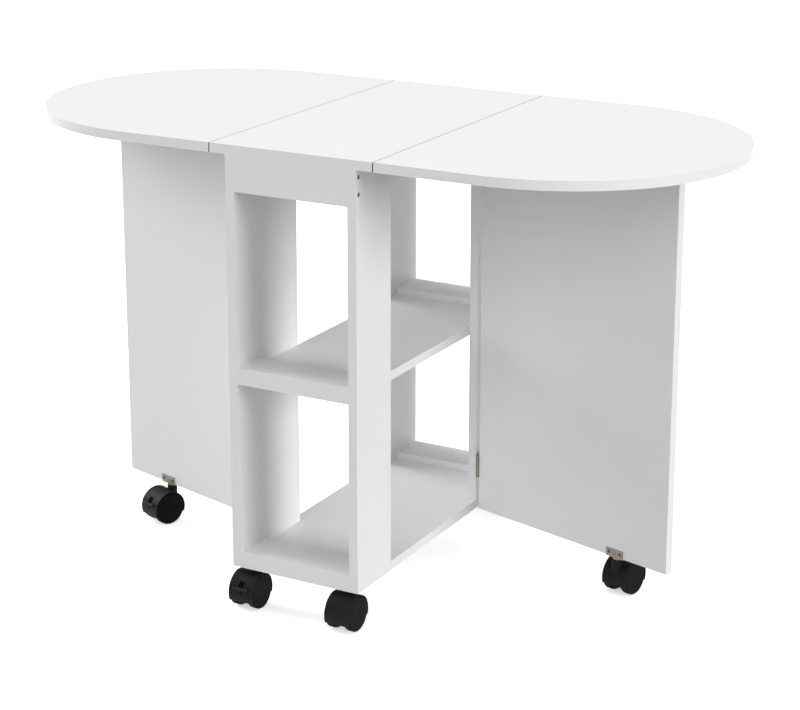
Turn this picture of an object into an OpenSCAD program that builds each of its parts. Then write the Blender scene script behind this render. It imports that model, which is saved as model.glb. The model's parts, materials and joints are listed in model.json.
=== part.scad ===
// Gateleg table on six twin-wheel casters: a fixed centre top on an open two-shelf frame,
// two round-ended drop leaves, and two swinging gates that hold the leaves up.
// Origin on the floor under the middle of the top. X runs along the leaves, Y from front to back.

/* [Top] */
// Length over both leaves
top_length = 1200; // [1100:10:1300]
// Depth of the top, front to back, and the diameter of the leaves' round ends
top_depth = 582; // [560:1:600]
// Thickness of the top boards
top_t = 15; // [15:0.5:16]
// Height of the top surface above the floor
table_height = 750; // [740:1:780]
// Distance between the two seams of the top
seam_spacing = 284.5; // [282:0.5:290]
// Open gap at each seam
seam_gap = 1.5; // [1.4:0.1:2]

/* [Frame] */
// Width of the frame over the posts
frame_w = 228; // [224:1:230]
// Thickness of posts, shelves and gates
board_t = 15; // [15:0.5:16]
// Depth of the two wide posts
wide_post = 180; // [170:1:182]
// Depth of the two narrow posts
narrow_post = 105; // [100:1:110]
// Height of the two rails under the top
top_rail_h = 57; // [54:1:70]
// Depth of the thick rails that edge the shelves
shelf_rail_d = 68; // [64:1:72]
// Height of the thick rails that edge the shelves
shelf_rail_h = 26; // [25:1:30]
// Height of the middle shelf's underside above the floor
middle_z = 371.5; // [340:0.5:400]

/* [Gates] */
// Width of a gate
gate_w = 396; // [380:1:396]
// How far each gate stands open from the frame, in degrees
gate_open = 74.5; // [0:0.5:90]
// Gap between a closed gate and the posts
gate_gap = 3.5; // [3.5:0.1:4]
// Distance from a gate's hinge end to its caster
gate_caster_at = 294; // [285:1:310]
// How far the right gate's caster is turned from square to its gate, in degrees
right_caster_turn = 4.5; // [-10:0.5:10]
// How far the left gate's caster is turned from square to its gate, in degrees
left_caster_turn = -5.5; // [-10:0.5:10]

/* [Casters] */
// Height of a caster from the floor to the frame's underside
caster_h = 66; // [66:0.5:70]
// Diameter of the caster wheels
wheel_d = 56; // [54:0.5:57]
// Width over a pair of wheels
wheel_pair_w = 45; // [43:0.5:46]
// Horizontal distance from the swivel stem to the axle
trail = 20; // [19:0.5:21]
// Distance of the frame casters from the middle, along X
caster_x = 88; // [80:1:90]
// Distance of the frame casters from the middle, along Y
caster_y = 262; // [250:1:265]

/* [Hidden] */
$fn = 96;
clear = 0.3;             // gap between bodies that pass each other
cut = 1;                 // how far a cutting solid runs past the face it opens

// the top
half_l = top_length / 2;
half_d = top_depth / 2;
seam_x = seam_spacing / 2;
under_top = table_height - top_t;

// the frame
half_w = frame_w / 2;
inner_x = half_w - board_t;
frame_z = caster_h;
rail_y = half_d - shelf_rail_d;
shelf_top = frame_z + board_t;
wide_y = half_d - wide_post;
narrow_y = half_d - narrow_post;
rail_screw_y = half_d - 8;
rail_screw_z = [under_top - 11.7, under_top - 38.4];
screw_r = 2.5;
screw_head_r = 3.5;
screw_head_h = 2;
screw_l = 45;

// the gates and their full-height hinges, drawn for the right side
barrel_r = 3;
hinge_pin_r = 1.2;
hinge_leaf_t = 1.2;
hinge_leaf_w = 22;
knuckle_l = 8;
knuckle_gap = 0.4;
knuckles = 5;
hinge_l = knuckles * knuckle_l;
hinge_z = [144, 655];
hinge_screw_z = [-12, 12];
plate_screw_r = 1.5;
plate_screw_head_r = 2.6;
plate_screw_l = 11;
axis_x = half_w + barrel_r + 0.2;
axis_y = wide_y - 1;
gate_x = half_w + gate_gap;
gate_y = axis_y - gate_gap;
gate_z0 = frame_z + 1.5;
gate_z1 = under_top - 3;
gate_mid_x = gate_x + board_t / 2;
gate_caster_y = gate_y - gate_caster_at;
glide_at = 345;
glide_w = 10;
glide_l = 40;
bracket_t = 1.2;
bracket_w = 34;
bracket_h = 13;
bracket_screw_z = gate_z0 + bracket_h / 2;
bracket_screw_y = [-11, 11];
bracket_screw_r = 1.5;
bracket_screw_l = 6;
bracket_head_r = 2.8;
bracket_head_h = 1.4;
bracket_dome_r = 3.9;
rivet_r = 2.4;
rivet_z = gate_z0 + 4.5;
rivet_top_r = 1.4;
rivet_h = 0.5;
recess_w = 0.7;

// the leaf hinges
leaf_hinge_y = [-170, 0, 170];
leaf_hinge_l = 50;
leaf_barrel_r = 2.2;
leaf_pin_r = 0.9;
leaf_plate_t = 1.2;
leaf_plate_w = 22;
leaf_screw_x = 14;
leaf_screw_y = [-17, 17];
leaf_knuckle_l = leaf_hinge_l / 5;

// the casters, drawn with the stem on the Z axis and the axle out along +X
wheel_r = wheel_d / 2;
web_y = 3.6;
wheel_in_y = 6;
wheel_out_y = wheel_pair_w / 2;
shoulder_r = 8;
rim_r = 2;
axle_r = 3;
hub_bore_r = 3.05;
axle_l = 2 * wheel_out_y - 5;
tyre_gap = 1;
hood_t = 1.2;
cavity_r = wheel_r + tyre_gap;
hood_r = cavity_r + hood_t;
boss_r = 8.5;
boss_top = 62;
pin_r = 4;
pin_bore_r = 4.08;
pin_z0 = wheel_r + sqrt(pow(cavity_r, 2) - pow(trail - pin_bore_r, 2)) + 1;
collar_r = 7.5;
stem_r = 5.5;
stem_l = 20;
hood_low_front = -24;    // angles of the hood's two lower ends, seen from the side
hood_low_back = 200;
lever_pivot_r = 20;
lever_pivot_a = 62;
lever_boss_r = 2.6;
lever_pin_r = 1;
lever_pin_bore_r = 1.08;
lever_y = 1.6;
lever_slot_y = 1.9;
lever_tab_y = 14;
lever_tab_r = hood_r + 5;
lever_tab_a0 = 17;
lever_tab_a1 = 23;
lever_travel_a = 12;
finger_slot_y = 5;
finger_slot_a = [25, 43];
drain_hole_y = 1.8;
drain_hole_a = [4, 10];

white = [0.95, 0.95, 0.95];
edge_white = [0.91, 0.91, 0.91];
zinc = [0.62, 0.60, 0.56];
brass = [0.66, 0.60, 0.50];
black = [0.08, 0.08, 0.085];
grey_black = [0.13, 0.13, 0.135];

FRAME_CASTERS = [[-1, -1], [1, -1], [-1, 1], [1, 1]];

// ---- helpers ----

// A box between two corners
module block(low, high) {
    translate(low) cube(high - low);
}

// The same thing turned half a turn about the vertical, for the left side
module half_turn() {
    rotate([0, 0, 180]) children();
}

// Turns a closed right gate out to where it stands
module swung_gate() {
    translate([axis_x, axis_y, 0]) rotate([0, 0, gate_open]) translate([-axis_x, -axis_y, 0]) children();
}

// ---- top ----

// Room cut in a top board for the hinges of the seam on its +X side
module leaf_hinge_pockets(side) {
    for (y = leaf_hinge_y) {
        plate_x = seam_x + side * (leaf_plate_w + clear);
        block([min(plate_x, seam_x), y - leaf_hinge_l / 2 - clear, under_top - cut],
              [max(plate_x, seam_x), y + leaf_hinge_l / 2 + clear, under_top + leaf_plate_t]);
        barrel_x = seam_x + side * (leaf_barrel_r + 2 * clear);
        block([min(barrel_x, seam_x), y - leaf_hinge_l / 2 - clear, under_top - cut],
              [max(barrel_x, seam_x), y + leaf_hinge_l / 2 + clear, under_top + leaf_barrel_r + 2 * clear]);
    }
}

module center_top() {
    edge_x = seam_x - seam_gap / 2;
    color(white) difference() {
        block([-edge_x, -half_d, under_top], [edge_x, half_d, table_height]);
        for (a = [0, 180]) rotate([0, 0, a]) {
            leaf_hinge_pockets(-1);
            at_leaf_screws(-1) plate_screw_room();
        }
    }
}

module leaf() {
    edge_x = seam_x + seam_gap / 2;
    round_x = half_l - half_d;
    color(white) difference() {
        translate([0, 0, under_top]) linear_extrude(top_t) union() {
            translate([edge_x, -half_d]) square([round_x - edge_x, top_depth]);
            intersection() {
                translate([round_x, 0]) circle(r = half_d, $fn = 180);
                translate([round_x, -half_d]) square([half_d, top_depth]);
            }
        }
        leaf_hinge_pockets(1);
        at_leaf_screws(1) plate_screw_room();
    }
}

// Where screws hold the hinge plates up in the top boards
module at_leaf_screws(side) {
    for (y = leaf_hinge_y, dy = leaf_screw_y) translate([seam_x + side * leaf_screw_x, y + dy, under_top])
        rotate([180, 0, 0]) children();
}

// One half of the seam's butt hinges: side is -1 for the fixed plates and 1 for the moving ones
module leaf_hinge_plates(side) {
    first = side < 0 ? 0 : 1;
    last = side < 0 ? 4 : 3;
    plate_in = leaf_barrel_r + clear;
    color(brass) for (y = leaf_hinge_y) translate([seam_x, y - leaf_hinge_l / 2, under_top]) {
        difference() {
            union() {
                block([min(side * plate_in, side * leaf_plate_w), 0, 0],
                      [max(side * plate_in, side * leaf_plate_w), leaf_hinge_l, leaf_plate_t]);
                for (i = [first : 2 : last]) {
                    y0 = i * leaf_knuckle_l + (i > 0 ? knuckle_gap / 2 : 0);
                    y1 = (i + 1) * leaf_knuckle_l - (i < 4 ? knuckle_gap / 2 : 0);
                    block([min(0, side * (plate_in + clear)), y0, 0],
                          [max(0, side * (plate_in + clear)), y1, leaf_plate_t]);
                    translate([0, y1, 0]) rotate([90, 0, 0])
                        cylinder(r = leaf_barrel_r, h = y1 - y0, $fn = 48);
                }
            }
            translate([0, leaf_hinge_l + cut, 0]) rotate([90, 0, 0])
                cylinder(r = leaf_pin_r + (side < 0 ? 0 : 0.05), h = leaf_hinge_l + 2 * cut, $fn = 32);
            translate([-seam_x, leaf_hinge_l / 2 - y, -under_top]) at_leaf_screws(side) plate_screw_room();
        }
    }
}

module leaf_screws() { color(zinc) at_leaf_screws(1) plate_screw(); }

module leaf_hinge_top_plates() {
    leaf_hinge_plates(-1);
    half_turn() leaf_hinge_plates(-1);
}

// The pins of one side's gate hinges and leaf hinges, held by the fixed knuckles
module hinge_pins_side() {
    at_gate_hinges() cylinder(r = hinge_pin_r, h = hinge_l, center = true, $fn = 32);
    for (y = leaf_hinge_y) translate([seam_x, y, under_top]) rotate([90, 0, 0])
        cylinder(r = leaf_pin_r, h = leaf_hinge_l, center = true, $fn = 32);
}

module hinge_pins() {
    color(zinc) for (a = [0, 180]) rotate([0, 0, a]) hinge_pins_side();
}

// ---- frame ----

// Holes for the two rail screws in the front right corner
module rail_screw_holes() {
    for (z = rail_screw_z) translate([half_w + cut, -rail_screw_y, z]) rotate([0, -90, 0]) {
        cylinder(r = screw_r, h = screw_l + cut, $fn = 32);
        cylinder(r = screw_head_r, h = screw_head_h + cut, $fn = 32);
    }
}

module rail_screw_pair() {
    for (z = rail_screw_z) translate([half_w, -rail_screw_y, z]) rotate([0, -90, 0]) difference() {
        union() {
            cylinder(r = screw_r, h = screw_l, $fn = 32);
            cylinder(r = screw_head_r, h = screw_head_h, $fn = 32);
        }
        translate([0, 0, -cut]) cylinder(r = 1.6, h = cut + 1.4, $fn = 6);
    }
}

// All the screws of the frame: those of its rails and those of the fixed hinge plates
module frame_screws() {
    color(zinc) {
        for (mx = [0, 1], my = [0, 1]) mirror([mx, 0, 0]) mirror([0, my, 0]) rail_screw_pair();
        for (a = [0, 180]) rotate([0, 0, a]) {
            at_gate_hinges() at_frame_plate_screws() plate_screw();
            at_leaf_screws(-1) plate_screw();
        }
    }
}

// The narrow post stands at the front right; the back left one is the same, turned round
module narrow_post_board() {
    color(edge_white) difference() {
        block([inner_x, -half_d, frame_z], [half_w, -narrow_y, under_top]);
        rail_screw_holes();
    }
}

// The wide post stands at the back right, on the end of the bottom shelf, and carries the gate
module wide_post_board() {
    color(edge_white) difference() {
        block([inner_x, wide_y, frame_z], [half_w, half_d, under_top]);
        block([inner_x - cut, wide_y - cut, frame_z - cut], [half_w + cut, rail_y, shelf_top]);
        mirror([0, 1, 0]) rail_screw_holes();
        at_gate_hinges() at_frame_plate_screws() plate_screw_room();
    }
}

module post_front_right() { narrow_post_board(); }
module post_back_left() { half_turn() narrow_post_board(); }
module post_back_right() { wide_post_board(); }
module post_front_left() { half_turn() wide_post_board(); }

module top_rail_front() {
    color(white) difference() {
        block([-inner_x, -half_d, under_top - top_rail_h], [inner_x, -half_d + board_t, under_top]);
        rail_screw_holes();
        mirror([1, 0, 0]) rail_screw_holes();
    }
}

module top_rail_back() { half_turn() top_rail_front(); }

// A thick rail along the front edge of a shelf whose underside is at height z
module shelf_rail(z) {
    color(white) block([-inner_x, -half_d, z], [inner_x, -rail_y, z + shelf_rail_h]);
}

module middle_rail_front() { shelf_rail(middle_z); }
module middle_rail_back() { half_turn() shelf_rail(middle_z); }

module middle_shelf() {
    color(white) block([-inner_x, -rail_y, middle_z], [inner_x, rail_y, middle_z + board_t]);
}

// Sockets for the two caster stems in the front bottom rail
module stem_sockets() {
    for (sx = [1, -1]) translate([sx * caster_x, -caster_y, frame_z - cut])
        cylinder(r = stem_r, h = stem_l + cut, $fn = 48);
}

module bottom_rail_front() {
    difference() {
        shelf_rail(frame_z);
        stem_sockets();
    }
}

module bottom_rail_back() { half_turn() bottom_rail_front(); }

module bottom_shelf() {
    color(white) difference() {
        block([-half_w, -rail_y, frame_z], [half_w, rail_y, shelf_top]);
        block([inner_x, -rail_y - cut, frame_z - cut], [half_w + cut, -narrow_y, shelf_top + cut]);
        half_turn() block([inner_x, -rail_y - cut, frame_z - cut],
                          [half_w + cut, -narrow_y, shelf_top + cut]);
    }
}

// ---- gates, drawn closed on the right side ----

// Puts one hinge at each of the gate's hinge heights, centred on the hinge axis
module at_gate_hinges() {
    for (z = hinge_z) translate([axis_x, axis_y, z]) children();
}

// Every second knuckle of a hinge, from the given one, made larger by a margin all round
module gate_knuckles(first, margin) {
    for (i = [first : 2 : knuckles - 1]) {
        translate([0, 0, i * knuckle_l - hinge_l / 2 + knuckle_gap / 2 - margin])
            cylinder(r = barrel_r + margin, h = knuckle_l - knuckle_gap + 2 * margin, $fn = 48);
    }
}

// A cross recess, cut down from z = 0
module cross_recess(length, depth) {
    for (a = [0, 90]) rotate([0, 0, a])
        block([-length / 2, -recess_w / 2, -depth], [length / 2, recess_w / 2, cut]);
}

// A countersunk screw with its head's face at z = 0, driven down the Z axis
module plate_screw() {
    difference() {
        plate_screw_room();
        cross_recess(plate_screw_head_r * 1.1, hinge_leaf_t * 0.8);
    }
}

// The room such a screw takes
module plate_screw_room() {
    translate([0, 0, -plate_screw_l]) cylinder(r = plate_screw_r, h = plate_screw_l, $fn = 32);
    translate([0, 0, -hinge_leaf_t])
        cylinder(r1 = plate_screw_r, r2 = plate_screw_head_r, h = hinge_leaf_t, $fn = 32);
}

// Where a hinge's frame plate has its two screws
module at_frame_plate_screws() {
    for (z = hinge_screw_z) translate([half_w + hinge_leaf_t - axis_x, hinge_leaf_w - 9, z])
        rotate([0, 90, 0]) children();
}

// Where a hinge's gate plate has its two screws, in the end edge of the gate
module at_gate_plate_screws() {
    for (z = hinge_screw_z) translate([gate_mid_x - axis_x + 1, gate_y + hinge_leaf_t - axis_y, z])
        rotate([-90, 0, 0]) children();
}

module hinge_frame_plate() {
    difference() {
        union() {
            block([half_w - axis_x, 0, -hinge_l / 2],
                  [half_w + hinge_leaf_t - axis_x, hinge_leaf_w, hinge_l / 2]);
            gate_knuckles(0, 0);
        }
        gate_knuckles(1, clear);
        cylinder(r = hinge_pin_r, h = hinge_l + 2 * cut, center = true, $fn = 32);
        at_frame_plate_screws() plate_screw_room();
    }
}

module hinge_gate_plate() {
    difference() {
        union() {
            block([0, gate_y - axis_y, -hinge_l / 2],
                  [gate_x + board_t - axis_x, gate_y + hinge_leaf_t - axis_y, hinge_l / 2]);
            gate_knuckles(1, 0);
        }
        gate_knuckles(0, clear);
        cylinder(r = hinge_pin_r + 0.05, h = hinge_l + 2 * cut, center = true, $fn = 32);
        at_gate_plate_screws() plate_screw_room();
    }
}

module gate_hinge_frame_leaves() {
    color(zinc) for (a = [0, 180]) rotate([0, 0, a]) at_gate_hinges() hinge_frame_plate();
}

module gate_hinge_leaf() { color(zinc) at_gate_hinges() hinge_gate_plate(); }

// A domed screw head standing on z = 0, with a cross recess
module pan_head() {
    difference() {
        intersection() {
            cylinder(r = bracket_head_r, h = bracket_head_h, $fn = 48);
            translate([0, 0, bracket_head_h - bracket_dome_r]) sphere(r = bracket_dome_r, $fn = 64);
        }
        translate([0, 0, bracket_head_h]) cross_recess(bracket_head_r * 1.1, 0.8);
    }
}

// Shanks of the bracket's two screws, one from each face of the gate, or with heads the screws
module bracket_screws(with_heads) {
    for (side = [-1, 1], y = bracket_screw_y)
        translate([gate_mid_x + side * (board_t / 2 + bracket_t), gate_caster_y + y, bracket_screw_z])
            rotate([0, side * 90, 0]) {
                translate([0, 0, -bracket_screw_l])
                    cylinder(r = bracket_screw_r, h = bracket_screw_l, $fn = 32);
                if (with_heads) pan_head();
            }
}

// Low round rivet heads in the middle of the bracket's two sides
module bracket_rivets() {
    for (side = [-1, 1])
        translate([gate_mid_x, gate_caster_y, rivet_z]) rotate([0, side * 90, 0]) {
            translate([0, 0, board_t / 2 + bracket_t - cut])
                cylinder(r = rivet_r, h = rivet_h + cut, $fn = 48);
            translate([0, 0, board_t / 2 + bracket_t + rivet_h])
                cylinder(r1 = rivet_r, r2 = rivet_top_r, h = rivet_h, $fn = 48);
        }
}

module gate_board() {
    color(edge_white) difference() {
        block([gate_x, gate_y - gate_w, gate_z0], [gate_x + board_t, gate_y, gate_z1]);
        bracket_screws(false);
        at_gate_hinges() at_gate_plate_screws() plate_screw_room();
    }
}

// A saddle over the gate's bottom edge, with the swivel stem riveted in its base
module gate_bracket() {
    y0 = gate_caster_y - bracket_w / 2;
    y1 = gate_caster_y + bracket_w / 2;
    color(zinc) difference() {
        union() {
            block([gate_x - bracket_t, y0, gate_z0 - bracket_t],
                  [gate_x + board_t + bracket_t, y1, gate_z0]);
            block([gate_x - bracket_t, y0, gate_z0 - bracket_t], [gate_x, y1, gate_z0 + bracket_h]);
            block([gate_x + board_t, y0, gate_z0 - bracket_t],
                  [gate_x + board_t + bracket_t, y1, gate_z0 + bracket_h]);
            translate([gate_mid_x, gate_caster_y, pin_z0])
                cylinder(r = pin_r, h = gate_z0 - pin_z0, $fn = 48);
            translate([gate_mid_x, gate_caster_y, boss_top + clear])
                cylinder(r = collar_r, h = gate_z0 - boss_top - clear, $fn = 48);
            bracket_rivets();
        }
        bracket_screws(false);
    }
}

module gate_screws() {
    color(zinc) {
        bracket_screws(true);
        at_gate_hinges() at_gate_plate_screws() plate_screw();
    }
}

// A low pad on the gate's top edge, which the leaf rests on
module gate_glide() {
    y = gate_y - glide_at;
    color(white) block([gate_mid_x - glide_w / 2, y - glide_l / 2, gate_z1],
                       [gate_mid_x + glide_w / 2, y + glide_l / 2, under_top - clear]);
}

module gate_right() { swung_gate() gate_board(); }
module gate_right_hinge_leaf() { swung_gate() gate_hinge_leaf(); }
module gate_right_bracket() { swung_gate() gate_bracket(); }
module gate_right_screws() { swung_gate() gate_screws(); }
module gate_right_glide() { swung_gate() gate_glide(); }
module gate_left() { half_turn() gate_right(); }
module gate_left_hinge_leaf() { half_turn() gate_right_hinge_leaf(); }
module gate_left_bracket() { half_turn() gate_right_bracket(); }
module gate_left_screws() { half_turn() gate_right_screws(); }
module gate_left_glide() { half_turn() gate_right_glide(); }

// ---- casters ----

// A swivel stem with its collar, pressed up into the bottom rail
module frame_caster_stem() {
    translate([0, 0, pin_z0]) cylinder(r = pin_r, h = frame_z - pin_z0, $fn = 48);
    translate([0, 0, boss_top + clear]) cylinder(r = collar_r, h = frame_z - boss_top - clear, $fn = 48);
    translate([0, 0, frame_z - cut / 2]) cylinder(r = stem_r, h = stem_l + cut / 2, $fn = 48);
}

module frame_caster_stems() {
    color(zinc) for (p = FRAME_CASTERS) translate([p[0] * caster_x, p[1] * caster_y, 0]) frame_caster_stem();
}

// A disc about the axle, between two distances along the axle
module about_axle(r, y0, y1) {
    translate([trail, y1, wheel_r]) rotate([90, 0, 0]) cylinder(r = r, h = y1 - y0);
}

// The space below the hood's two lower ends
module below_hood() {
    front = [hood_r * cos(hood_low_front), hood_r * sin(hood_low_front)];
    back = [hood_r * cos(hood_low_back), hood_r * sin(hood_low_back)];
    slope = atan2(front[1] - back[1], front[0] - back[0]);
    translate([trail + back[0], 0, wheel_r + back[1]]) rotate([0, -slope, 0])
        block([-wheel_d, -wheel_pair_w, -wheel_d], [2 * wheel_d, wheel_pair_w, 0]);
}

// A disc at the brake lever's pivot, drawn in side view
module lever_pivot_disc(r) {
    translate(lever_pivot_r * [cos(lever_pivot_a), sin(lever_pivot_a)]) circle(r = r, $fn = 32);
}

// The sector of a ring about the axle between two angles, drawn in side view
module ring_sector(r0, r1, a0, a1) {
    intersection() {
        difference() {
            circle(r = r1);
            circle(r = r0);
        }
        polygon([[0, 0], 2 * r1 * [cos(a0), sin(a0)], 2 * r1 * [cos((a0 + a1) / 2), sin((a0 + a1) / 2)],
                 2 * r1 * [cos(a1), sin(a1)]]);
    }
}

// A side view extruded evenly about the caster's middle plane
module side_slab(half_y) {
    translate([trail, half_y, wheel_r]) rotate([90, 0, 0]) linear_extrude(2 * half_y) children();
}

// Hood over both wheels, with the middle web that holds the axle and the boss that holds the stem
module caster_hood(braked) {
    color(black) difference() {
        union() {
            about_axle(hood_r, -wheel_out_y + clear, wheel_out_y - clear);
            translate([0, 0, wheel_r]) cylinder(r = boss_r, h = boss_top - wheel_r, $fn = 64);
        }
        about_axle(cavity_r, web_y, wheel_out_y + boss_r);
        about_axle(cavity_r, -wheel_out_y - boss_r, -web_y);
        about_axle(axle_r, -web_y - cut, web_y + cut);
        below_hood();
        translate([0, 0, pin_z0 - clear]) cylinder(r = pin_bore_r, h = boss_top, $fn = 48);
        if (braked) {
            side_slab(lever_slot_y) {
                ring_sector(lever_pivot_r - 4, cavity_r, lever_tab_a0 - 3, lever_pivot_a + lever_travel_a);
                ring_sector(cavity_r - 1, hood_r + cut, lever_tab_a0 - 3, finger_slot_a[1]);
            }
            side_slab(finger_slot_y)
                ring_sector(cavity_r - cut / 2, hood_r + cut, finger_slot_a[0], finger_slot_a[1]);
            side_slab(drain_hole_y)
                ring_sector(cavity_r - 3, hood_r + cut, drain_hole_a[0], drain_hole_a[1]);
            side_slab(web_y + cut) lever_pivot_disc(lever_pin_bore_r);
        }
    }
}

// Brake lever: a tab outside the hood on a thin arm that turns on a pin in the web
module brake_lever() {
    color(grey_black) {
        side_slab(lever_tab_y) ring_sector(hood_r + clear, lever_tab_r, lever_tab_a0, lever_tab_a1);
        side_slab(lever_y) {
            ring_sector(lever_pivot_r + 3, hood_r + 2 * clear, lever_tab_a0 + 1, lever_tab_a1 - 1);
            ring_sector(lever_pivot_r - 1.4, lever_pivot_r + 3.5, lever_tab_a0 + 1, lever_pivot_a);
            lever_pivot_disc(lever_boss_r);
        }
        side_slab(web_y - 0.2) lever_pivot_disc(lever_pin_r);
    }
}

module caster_axle() {
    color(zinc) about_axle(axle_r, -axle_l / 2, axle_l / 2);
}

// Outline of a wheel from its axis out, with a round inner shoulder and a small round outer rim
module wheel_outline() {
    square_w = wheel_out_y - wheel_in_y;
    difference() {
        union() {
            translate([0, wheel_in_y]) square([wheel_r - shoulder_r, square_w]);
            translate([0, wheel_in_y + shoulder_r]) square([wheel_r, square_w - shoulder_r - rim_r]);
            translate([0, wheel_in_y + shoulder_r]) square([wheel_r - rim_r, square_w - shoulder_r]);
            translate([wheel_r - shoulder_r, wheel_in_y + shoulder_r]) circle(r = shoulder_r, $fn = 48);
            translate([wheel_r - rim_r, wheel_out_y - rim_r]) circle(r = rim_r, $fn = 32);
        }
        translate([-wheel_r, 0]) square([wheel_r + hub_bore_r, axle_l / 2 + 0.2]);
        translate([-wheel_r, 0]) square([wheel_r, 2 * wheel_out_y]);
    }
}

module caster_wheel(side) {
    color(black) translate([trail, 0, wheel_r]) rotate([side * -90, 0, 0])
        rotate_extrude($fn = 96) wheel_outline();
}

// Puts a caster under the frame or a gate
module at_front_left() { translate([-caster_x, -caster_y, 0]) rotate([0, 0, -90]) children(); }
module at_front_right() { translate([caster_x, -caster_y, 0]) rotate([0, 0, -90]) children(); }
module at_back_left() { translate([-caster_x, caster_y, 0]) rotate([0, 0, 90]) children(); }
module at_back_right() { translate([caster_x, caster_y, 0]) rotate([0, 0, 90]) children(); }
module under_gate(turn) {
    swung_gate() translate([gate_mid_x, gate_caster_y, 0]) rotate([0, 0, turn]) children();
}
module at_gate_right() { under_gate(right_caster_turn) children(); }
module at_gate_left() { half_turn() under_gate(left_caster_turn) children(); }

center_top();
half_turn() leaf();  // leaf_left
leaf();  // leaf_right
post_front_left();
post_front_right();
post_back_left();
post_back_right();
top_rail_front();
top_rail_back();
middle_rail_front();
middle_rail_back();
middle_shelf();
bottom_rail_front();
bottom_rail_back();
bottom_shelf();
frame_screws();
gate_hinge_frame_leaves();
leaf_hinge_top_plates();
hinge_pins();
half_turn() leaf_hinge_plates(1);  // leaf_left_hinge_plates
half_turn() leaf_screws();  // leaf_left_screws
leaf_hinge_plates(1);  // leaf_right_hinge_plates
leaf_screws();  // leaf_right_screws
frame_caster_stems();
gate_left();
gate_left_hinge_leaf();
gate_left_bracket();
gate_left_screws();
gate_left_glide();
gate_right();
gate_right_hinge_leaf();
gate_right_bracket();
gate_right_screws();
gate_right_glide();
at_front_left() caster_hood(true);  // caster_front_left_hood
at_front_left() caster_axle();  // caster_front_left_axle
at_front_left() caster_wheel(1);  // caster_front_left_wheel_a
at_front_left() caster_wheel(-1);  // caster_front_left_wheel_b
at_front_left() brake_lever();  // caster_front_left_lever
at_front_right() caster_hood(false);  // caster_front_right_hood
at_front_right() caster_axle();  // caster_front_right_axle
at_front_right() caster_wheel(1);  // caster_front_right_wheel_a
at_front_right() caster_wheel(-1);  // caster_front_right_wheel_b
at_back_left() caster_hood(false);  // caster_back_left_hood
at_back_left() caster_axle();  // caster_back_left_axle
at_back_left() caster_wheel(1);  // caster_back_left_wheel_a
at_back_left() caster_wheel(-1);  // caster_back_left_wheel_b
at_back_right() caster_hood(false);  // caster_back_right_hood
at_back_right() caster_axle();  // caster_back_right_axle
at_back_right() caster_wheel(1);  // caster_back_right_wheel_a
at_back_right() caster_wheel(-1);  // caster_back_right_wheel_b
at_gate_left() caster_hood(true);  // caster_gate_left_hood
at_gate_left() caster_axle();  // caster_gate_left_axle
at_gate_left() caster_wheel(1);  // caster_gate_left_wheel_a
at_gate_left() caster_wheel(-1);  // caster_gate_left_wheel_b
at_gate_left() brake_lever();  // caster_gate_left_lever
at_gate_right() caster_hood(false);  // caster_gate_right_hood
at_gate_right() caster_axle();  // caster_gate_right_axle
at_gate_right() caster_wheel(1);  // caster_gate_right_wheel_a
at_gate_right() caster_wheel(-1);  // caster_gate_right_wheel_b
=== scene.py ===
"""Looks of the gateleg table: white faced boards with edge bands, zinc fittings and black twin-wheel casters.

Everything is in metres in the row frame: X along the two leaves, Y from front to back, Z up from the floor.
"""

import json
import math

import bmesh
import bpy
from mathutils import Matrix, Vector


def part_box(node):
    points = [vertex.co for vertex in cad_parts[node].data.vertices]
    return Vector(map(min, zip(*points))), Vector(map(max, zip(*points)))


MM = 0.001
WHITE = (1, 1, 1, 1)

# ---- camera: its place, and how far it turns left and tilts down in degrees ----

CAMERA_AT = (1.6394, -2.9348, 1.4399)
CAMERA_YAW = 28.934
CAMERA_PITCH = 15.367
CAMERA_LENS = 96.66
CAMERA_SENSOR = 36
CAMERA_SHIFT = (0.0074, -0.12)
CAMERA_CLIP = (0.05, 60)

# ---- lights: name, direction that the light comes from, strength, and width in degrees ----

SUNS = (
    ("key", (1.0, -0.06, 0.28), 1.8, 26),
    ("overhead", (0.0, 0.1, 1.0), 0.74, 40),
    ("fill", (0.12, -1.0, 0.42), 0.92, 40),
    ("left", (-1.0, 0.05, 0.55), 2.5, 40),
)
SKY_STRENGTH = 0.36

# ---- stage: half the floor's width, which is also the wall's radius, and how much they glow ----

STAGE_SIZE = 30
WALL_SIDES = 64
WALL_HEIGHT = 2 * STAGE_SIZE
FLOOR_GLOW = 0.5
WALL_GLOW = 1.0
STAGE_ROUGHNESS = 0.95

# ---- seams of the top: painted shade, their walls are coloured dark grey up to a white arris ----

SEAM_SLACK = 0.15 * MM
SEAM_ARRIS = 0.2 * MM
# colour of the painted shade on the seam walls, standing in for the shade inside the narrow seams
SEAM_SHADE_GREY = (0.1, 0.1, 0.1)

# moulded black plastic is this much lighter in its palest patches
BLACK_VARIATION = 1.6


def add_object(name, data):
    """A new object in the scene."""
    obj = bpy.data.objects.new(name, data)
    bpy.context.scene.collection.objects.link(obj)
    return obj


# ---- materials ----


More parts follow.
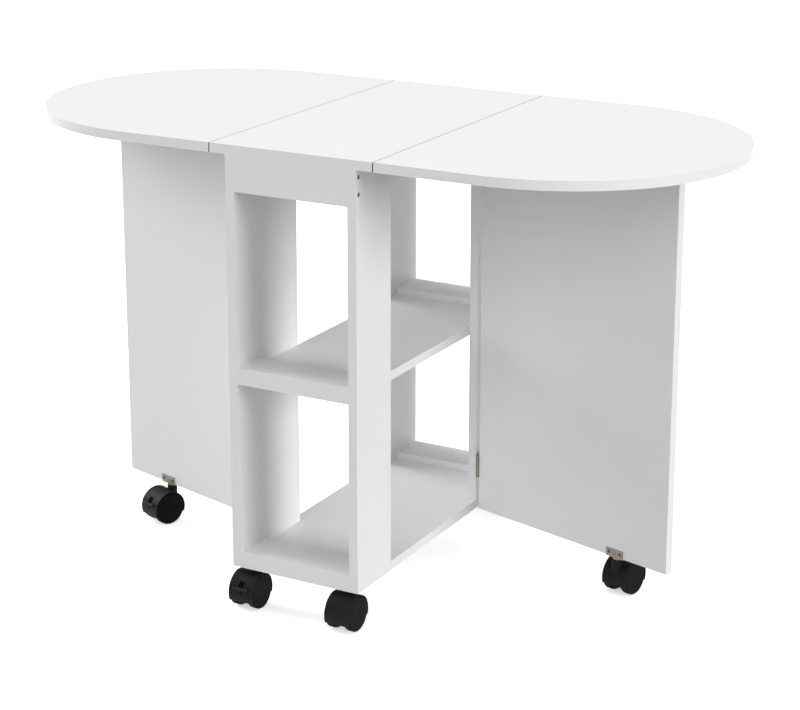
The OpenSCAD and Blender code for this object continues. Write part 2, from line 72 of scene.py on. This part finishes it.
class Nodes:
    """A material's node tree, with short ways to add nodes and link them.

    A noise's scale is in patches a metre, and its detail is how many finer layers it has.
    """

    def __init__(self, name):
        self.material = bpy.data.materials.new(name)
        self.material.use_nodes = True
        self.tree = self.material.node_tree
        self.shader = next(n for n in self.tree.nodes if n.type == "BSDF_PRINCIPLED")

    def add(self, kind, inputs=None, **settings):
        """A new node with these settings, and its inputs fed by name."""
        node = self.tree.nodes.new(kind)
        for key, value in settings.items():
            setattr(node, key, value)
        for key, value in (inputs or {}).items():
            self.feed(node.inputs[key], value)
        return node

    def feed(self, socket, value):
        """Links another node's output to a socket, or sets a plain value on it."""
        if isinstance(value, bpy.types.NodeSocket):
            self.tree.links.new(value, socket)
        else:
            socket.default_value = value

    def set(self, **inputs):
        """Feeds the shader's inputs, named with _ for a space."""
        for key, value in inputs.items():
            self.feed(self.shader.inputs[key.replace("_", " ")], value)

    def place(self):
        """A point's place in the row frame with the object at rest."""
        return self.add("ShaderNodeTexCoord").outputs["Object"]

    def noise(self, scale, detail=3.0):
        """Soft noise from 0 to 1."""
        inputs = {"Scale": scale, "Detail": detail, "Vector": self.place()}
        return self.add("ShaderNodeTexNoise", inputs).outputs["Fac"]

    def calc(self, operation, a, b=0.0):
        """One step of arithmetic on numbers or other nodes' outputs."""
        node = self.add("ShaderNodeMath", operation=operation)
        self.feed(node.inputs[0], a)
        self.feed(node.inputs[1], b)
        return node.outputs[0]

    def mix(self, factor, a, b):
        """Colour a where factor is 0 and b where it is 1. Each is a tuple or another node's output."""
        node = self.add("ShaderNodeMix", data_type="RGBA")
        self.feed(node.inputs["Factor"], factor)
        for socket, colour in ((node.inputs[6], a), (node.inputs[7], b)):
            self.feed(socket, (*colour, 1) if isinstance(colour, tuple) else colour)
        return node.outputs[2]

    def patches(self, scale, dark, light, detail=3.0):
        """A cloudy colour between two tones."""
        return self.mix(self.noise(scale, detail), dark, light)

    def sheen(self, scale, low, high, detail=3.0):
        """A roughness that drifts from low to high."""
        inputs = {"Value": self.noise(scale, detail), "To Min": low, "To Max": high}
        return self.add("ShaderNodeMapRange", inputs).outputs["Result"]

    def grain(self, scale, height, detail=3.0, strength=1.0):
        """A fine bump, height metres high."""
        inputs = {"Height": self.noise(scale, detail), "Distance": height, "Strength": strength}
        return self.add("ShaderNodeBump", inputs).outputs["Normal"]


def seam_shade_mask(m):
    """Where the seam walls get painted shade: 1 on the facing edges of the centre top and the leaves, just
    below their top arrises, else 0.
    """
    top_low, top_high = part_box("center_top")
    leaf_low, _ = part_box("leaf_right")
    seam_x = (top_high[0] + leaf_low[0]) / 2
    seam_reach = (leaf_low[0] - top_high[0]) / 2 + SEAM_SLACK
    place = m.add("ShaderNodeSeparateXYZ", {"Vector": m.place()}).outputs
    from_seam = m.calc("ABSOLUTE", m.calc("SUBTRACT", m.calc("ABSOLUTE", place["X"]), seam_x))
    in_seam = m.calc("LESS_THAN", from_seam, seam_reach)
    below_arris = m.calc("LESS_THAN", place["Z"], top_high[2] - SEAM_ARRIS)
    in_top = m.calc("GREATER_THAN", place["Z"], top_low[2] - SEAM_ARRIS)
    return m.calc("MULTIPLY", in_seam, m.calc("MULTIPLY", below_arris, in_top))


def melamine():
    """White faced chipboard: nearly even, with a faint orange-peel sheen, and painted shade, a dark grey, on
    the edges in the seams.
    """
    m = Nodes("white_melamine")
    facing = m.patches(scale=9.0, dark=(0.79, 0.79, 0.795), light=(0.82, 0.82, 0.82))
    m.set(
        # painted shade: the seam walls are coloured dark grey in place of the shade that falls inside the
        # seams
        Base_Color=m.mix(seam_shade_mask(m), facing, SEAM_SHADE_GREY),
        Roughness=m.sheen(scale=160.0, low=0.36, high=0.46),
        Normal=m.grain(scale=900.0, height=0.03 * MM, detail=2.0, strength=0.5),
        Specular_IOR_Level=0.4,
    )
    return m.material


def white_plastic():
    """Smooth moulded plastic of the pads on the gates."""
    m = Nodes("white_plastic")
    m.set(
        Base_Color=m.patches(scale=40.0, dark=(0.72, 0.72, 0.71), light=(0.78, 0.78, 0.77)),
        Roughness=m.sheen(scale=400.0, low=0.4, high=0.5),
        Normal=m.grain(scale=1500.0, height=0.02 * MM),
    )
    return m.material


def plated_steel(name, dark, light):
    """Pressed steel with cloudy, slightly warm plating between two tones."""
    m = Nodes(name)
    m.set(
        Base_Color=m.patches(scale=220.0, dark=dark, light=light, detail=5.0),
        Roughness=m.sheen(scale=500.0, low=0.28, high=0.5, detail=5.0),
        Normal=m.grain(scale=1800.0, height=0.04 * MM),
        Metallic=1.0,
    )
    return m.material


def black_plastic(name, dark, specular):
    """Moulded black nylon with a fine spark-eroded texture."""
    m = Nodes(name)
    light = tuple(tone * BLACK_VARIATION for tone in dark)
    m.set(
        Base_Color=m.patches(scale=60.0, dark=dark, light=light),
        Roughness=m.sheen(scale=700.0, low=0.46, high=0.6),
        Normal=m.grain(scale=2600.0, height=0.04 * MM, detail=2.0, strength=0.6),
        Specular_IOR_Level=specular,
    )
    return m.material


MATERIALS = {
    "white_board": melamine,
    "white_plastic": white_plastic,
    "zinc_steel": lambda: plated_steel("zinc_steel", (0.16, 0.135, 0.11), (0.32, 0.28, 0.235)),
    "dark_steel": lambda: plated_steel("dark_steel", (0.05, 0.045, 0.04), (0.1, 0.09, 0.08)),
    "black_plastic": lambda: black_plastic("black_plastic", (0.008, 0.008, 0.0085), 0.1),
    "black_wheel": lambda: black_plastic("black_wheel", (0.004, 0.004, 0.0043), 0.04),
    "black_lever": lambda: black_plastic("black_lever", (0.018, 0.018, 0.019), 0.15),
}


def paint(obj, material):
    """Gives an object one material all over."""
    obj.data.materials.clear()
    obj.data.materials.append(material)


# ---- stage ----


def stage_piece(name, bm, glow):
    """A white surface of the studio: it glows a little and throws no light on the table."""
    mesh = bpy.data.meshes.new(name)
    bm.to_mesh(mesh)
    bm.free()
    piece = add_object(name, mesh)
    m = Nodes(name + "_white")
    m.set(
        Base_Color=m.patches(scale=2.0, dark=(0.955, 0.955, 0.955), light=(0.975, 0.975, 0.975)),
        Roughness=STAGE_ROUGHNESS,
        Emission_Color=WHITE,
        Emission_Strength=glow,
    )
    paint(piece, m.material)
    piece.visible_diffuse = False
    return piece


def make_stage():
    """A white floor, and a white wall all round it that the lights shine through."""
    bm = bmesh.new()
    bmesh.ops.create_grid(bm, x_segments=1, y_segments=1, size=STAGE_SIZE)
    stage_piece("floor", bm, FLOOR_GLOW)
    bm = bmesh.new()
    bmesh.ops.create_cone(
        bm, segments=WALL_SIDES, radius1=STAGE_SIZE, radius2=STAGE_SIZE, depth=WALL_HEIGHT
    )
    wall = stage_piece("wall", bm, WALL_GLOW)
    wall.visible_shadow = False
    wall.visible_glossy = False


# ---- lights and camera ----


def make_lights():
    """Distant soft lights and an even white sky."""
    for name, from_direction, strength, width in SUNS:
        data = bpy.data.lights.new(name, "SUN")
        data.energy = strength
        data.angle = math.radians(width)
        light = add_object(name, data)
        light.rotation_mode = "QUATERNION"
        light.rotation_quaternion = (-Vector(from_direction)).to_track_quat("-Z", "Y")
    world = bpy.data.worlds.new("studio")
    world.use_nodes = True
    sky = world.node_tree.nodes["Background"].inputs
    sky["Color"].default_value = WHITE
    sky["Strength"].default_value = SKY_STRENGTH
    bpy.context.scene.world = world
    bpy.context.scene.view_settings.view_transform = "Standard"


def make_camera():
    """The camera, in front of the table, to its right and above."""
    data = bpy.data.cameras.new("camera")
    data.lens = CAMERA_LENS
    data.sensor_width = CAMERA_SENSOR
    data.shift_x, data.shift_y = CAMERA_SHIFT
    data.clip_start, data.clip_end = CAMERA_CLIP
    camera = add_object("camera", data)
    camera.location = CAMERA_AT
    camera.rotation_euler = (math.radians(90 - CAMERA_PITCH), 0, math.radians(CAMERA_YAW))
    bpy.context.scene.camera = camera


# ---- the table ----

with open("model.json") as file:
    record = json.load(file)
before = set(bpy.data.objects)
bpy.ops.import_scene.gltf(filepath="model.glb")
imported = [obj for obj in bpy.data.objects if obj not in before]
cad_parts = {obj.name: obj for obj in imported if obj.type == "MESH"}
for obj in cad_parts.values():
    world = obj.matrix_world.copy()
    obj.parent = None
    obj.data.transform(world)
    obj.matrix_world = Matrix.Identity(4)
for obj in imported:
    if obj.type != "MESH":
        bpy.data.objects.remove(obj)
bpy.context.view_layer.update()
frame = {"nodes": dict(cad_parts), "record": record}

make_camera()
make_stage()
make_lights()

slots = {p["node"]: p["material_slot"] for p in frame["record"]["subparts"]}
made = {}
for node_name, obj in frame["nodes"].items():
    slot_name = slots[node_name]
    if slot_name not in made:
        made[slot_name] = MATERIALS[slot_name]()
    paint(obj, made[slot_name])
